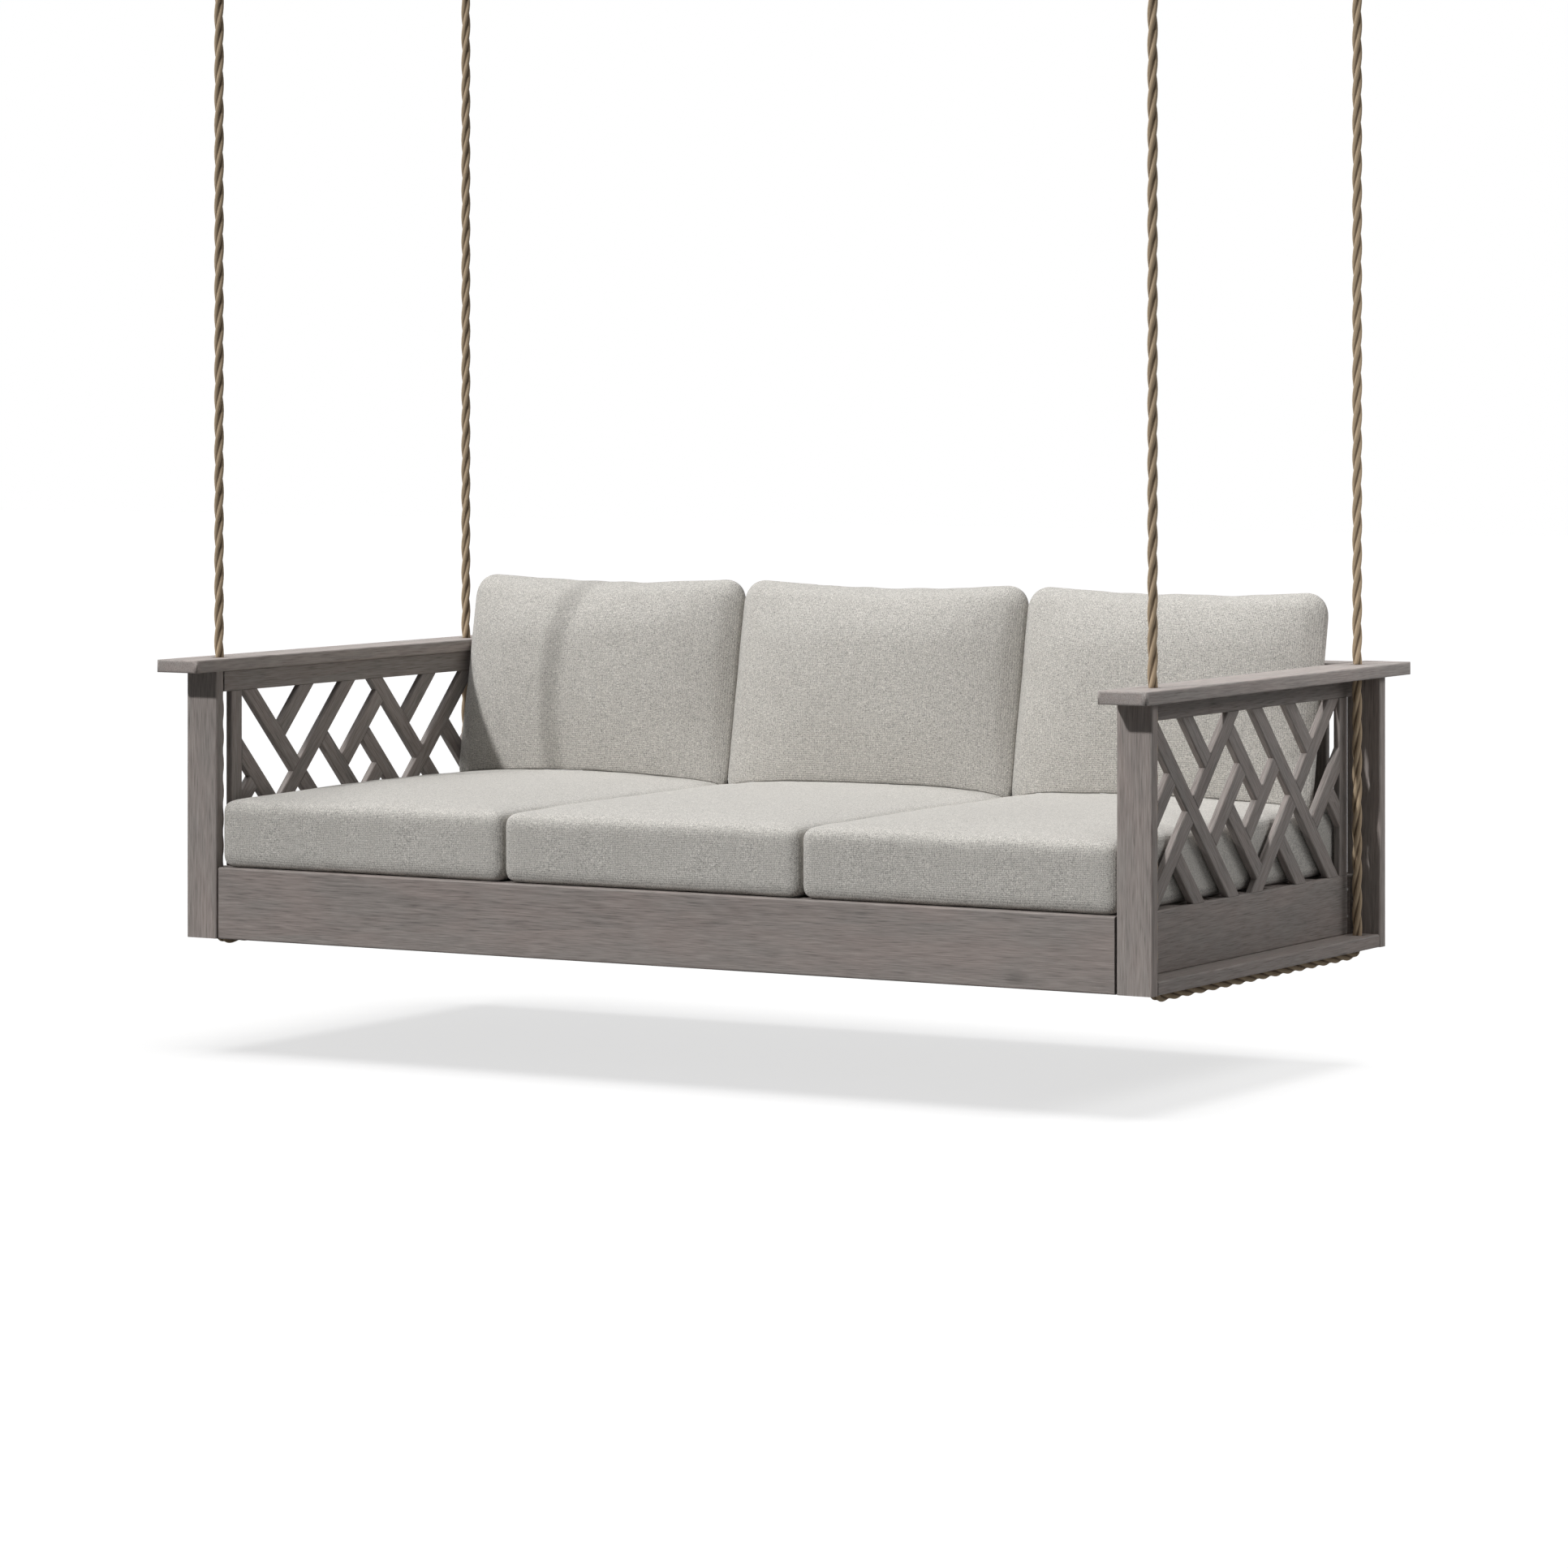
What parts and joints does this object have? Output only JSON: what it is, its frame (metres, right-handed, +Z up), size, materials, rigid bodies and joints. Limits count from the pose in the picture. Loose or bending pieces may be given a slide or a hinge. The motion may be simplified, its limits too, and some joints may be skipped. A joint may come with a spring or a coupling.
{
  "type": "hanging swing bed",
  "caption": "Daybed-sized porch swing with trellis ends and back, loose seat and back cushions, hung level from the ceiling on a rope at each corner.",
  "frame": {"origin": "ceiling plane, at the centre of the four ceiling brackets", "axes": "+X along the bed to its right end as seen from the front, +Y from the front to the back, +Z up"},
  "size_m": [2.148, 1.154, 2.1993],
  "materials": {
    "weathered_boards": "matt weathered grey-brown, straight grain along each board",
    "cushion_fabric": "matt woven, light warm grey",
    "rope": "matt laid rope of three strands, tan",
    "steel": "satin zinc-plated"
  },
  "bodies": {
    "ceiling": {"ceiling_brackets": "steel", "pivot_bolts": "steel"},
    "front_left_hanger": {"front_left_hanger": "steel"},
    "front_right_hanger": {"front_right_hanger": "steel"},
    "rear_left_hanger": {"rear_left_hanger": "steel"},
    "rear_right_hanger": {"rear_right_hanger": "steel"},
    "front_left_line": {"front_left_shackle": "steel", "front_left_thimble": "steel", "front_left_ferrule": "steel", "front_left_rope": "rope"},
    "front_left_bend": {"front_left_rope_bend": "rope"},
    "bed": {"front_rail": "weathered_boards", "back_rail": "weathered_boards", "front_beam": "weathered_boards", "back_beam": "weathered_boards", "cross_joists": "weathered_boards", "seat_slats": "weathered_boards", "left_rope_plate": "weathered_boards", "right_rope_plate": "weathered_boards", "left_apron": "weathered_boards", "right_apron": "weathered_boards", "left_stiles": "weathered_boards", "right_stiles": "weathered_boards", "left_top_rail": "weathered_boards", "right_top_rail": "weathered_boards", "left_trellis": "weathered_boards", "right_trellis": "weathered_boards", "front_left_post": "weathered_boards", "front_right_post": "weathered_boards", "rear_left_post": "weathered_boards", "rear_right_post": "weathered_boards", "left_arm": "weathered_boards", "right_arm": "weathered_boards", "back_cap": "weathered_boards", "back_top_rail": "weathered_boards", "back_stiles": "weathered_boards", "back_trellis": "weathered_boards", "beam_screws": "steel", "left_seat_cushion": "cushion_fabric", "middle_seat_cushion": "cushion_fabric", "right_seat_cushion": "cushion_fabric", "left_back_cushion": "cushion_fabric", "middle_back_cushion": "cushion_fabric", "right_back_cushion": "cushion_fabric", "left_rope_loop": "rope", "right_rope_loop": "rope"},
    "front_right_line": {"front_right_shackle": "steel", "front_right_thimble": "steel", "front_right_ferrule": "steel", "front_right_rope": "rope"},
    "rear_left_line": {"rear_left_shackle": "steel", "rear_left_thimble": "steel", "rear_left_ferrule": "steel", "rear_left_rope": "rope"},
    "rear_right_line": {"rear_right_shackle": "steel", "rear_right_thimble": "steel", "rear_right_ferrule": "steel", "rear_right_rope": "rope"}
  },
  "joints": [
    {"name": "swing_fore_aft", "type": "hinge", "parent": "ceiling", "child": "front_left_hanger", "pos_m": [-1.019, -0.4415, -0.03], "axis": [1, 0, 0], "range_deg": [-15, 15]},
    {"name": "swing_sideways", "type": "hinge", "parent": "front_left_hanger", "child": "front_left_line", "pos_m": [-1.019, -0.4415, -0.074], "axis": [0, 1, 0], "range_deg": [-6, 6]},
    {"name": "front_left_bend_sideways", "type": "hinge", "parent": "front_left_line", "child": "front_left_bend", "pos_m": [-1.019, -0.4415, -1.64775], "axis": [0, 1, 0], "range_deg": [-6, 6]},
    {"name": "front_left_bend_fore_aft", "type": "hinge", "parent": "front_left_bend", "child": "bed", "pos_m": [-1.019, -0.4415, -1.64775], "axis": [1, 0, 0], "range_deg": [-15, 15]},
    {"name": "front_right_fore_aft", "type": "hinge", "parent": "ceiling", "child": "front_right_hanger", "pos_m": [1.019, -0.4415, -0.03], "axis": [1, 0, 0], "range_deg": [-15, 15]},
    {"name": "front_right_sideways", "type": "hinge", "parent": "front_right_hanger", "child": "front_right_line", "pos_m": [1.019, -0.4415, -0.074], "axis": [0, 1, 0], "range_deg": [-6, 6]},
    {"name": "rear_left_fore_aft", "type": "hinge", "parent": "ceiling", "child": "rear_left_hanger", "pos_m": [-1.019, 0.4415, -0.03], "axis": [1, 0, 0], "range_deg": [-15, 15]},
    {"name": "rear_left_sideways", "type": "hinge", "parent": "rear_left_hanger", "child": "rear_left_line", "pos_m": [-1.019, 0.4415, -0.074], "axis": [0, 1, 0], "range_deg": [-6, 6]},
    {"name": "rear_right_fore_aft", "type": "hinge", "parent": "ceiling", "child": "rear_right_hanger", "pos_m": [1.019, 0.4415, -0.03], "axis": [1, 0, 0], "range_deg": [-15, 15]},
    {"name": "rear_right_sideways", "type": "hinge", "parent": "rear_right_hanger", "child": "rear_right_line", "pos_m": [1.019, 0.4415, -0.074], "axis": [0, 1, 0], "range_deg": [-6, 6]}
  ],
  "couplings": [
    {"joint": "front_left_bend_sideways", "follows": "swing_sideways", "ratio": -1},
    {"joint": "front_left_bend_fore_aft", "follows": "swing_fore_aft", "ratio": -1},
    {"joint": "front_right_fore_aft", "follows": "swing_fore_aft", "ratio": 1},
    {"joint": "front_right_sideways", "follows": "swing_sideways", "ratio": 1},
    {"joint": "rear_left_fore_aft", "follows": "swing_fore_aft", "ratio": 1},
    {"joint": "rear_left_sideways", "follows": "swing_sideways", "ratio": 1},
    {"joint": "rear_right_fore_aft", "follows": "swing_fore_aft", "ratio": 1},
    {"joint": "rear_right_sideways", "follows": "swing_sideways", "ratio": 1}
  ]
}
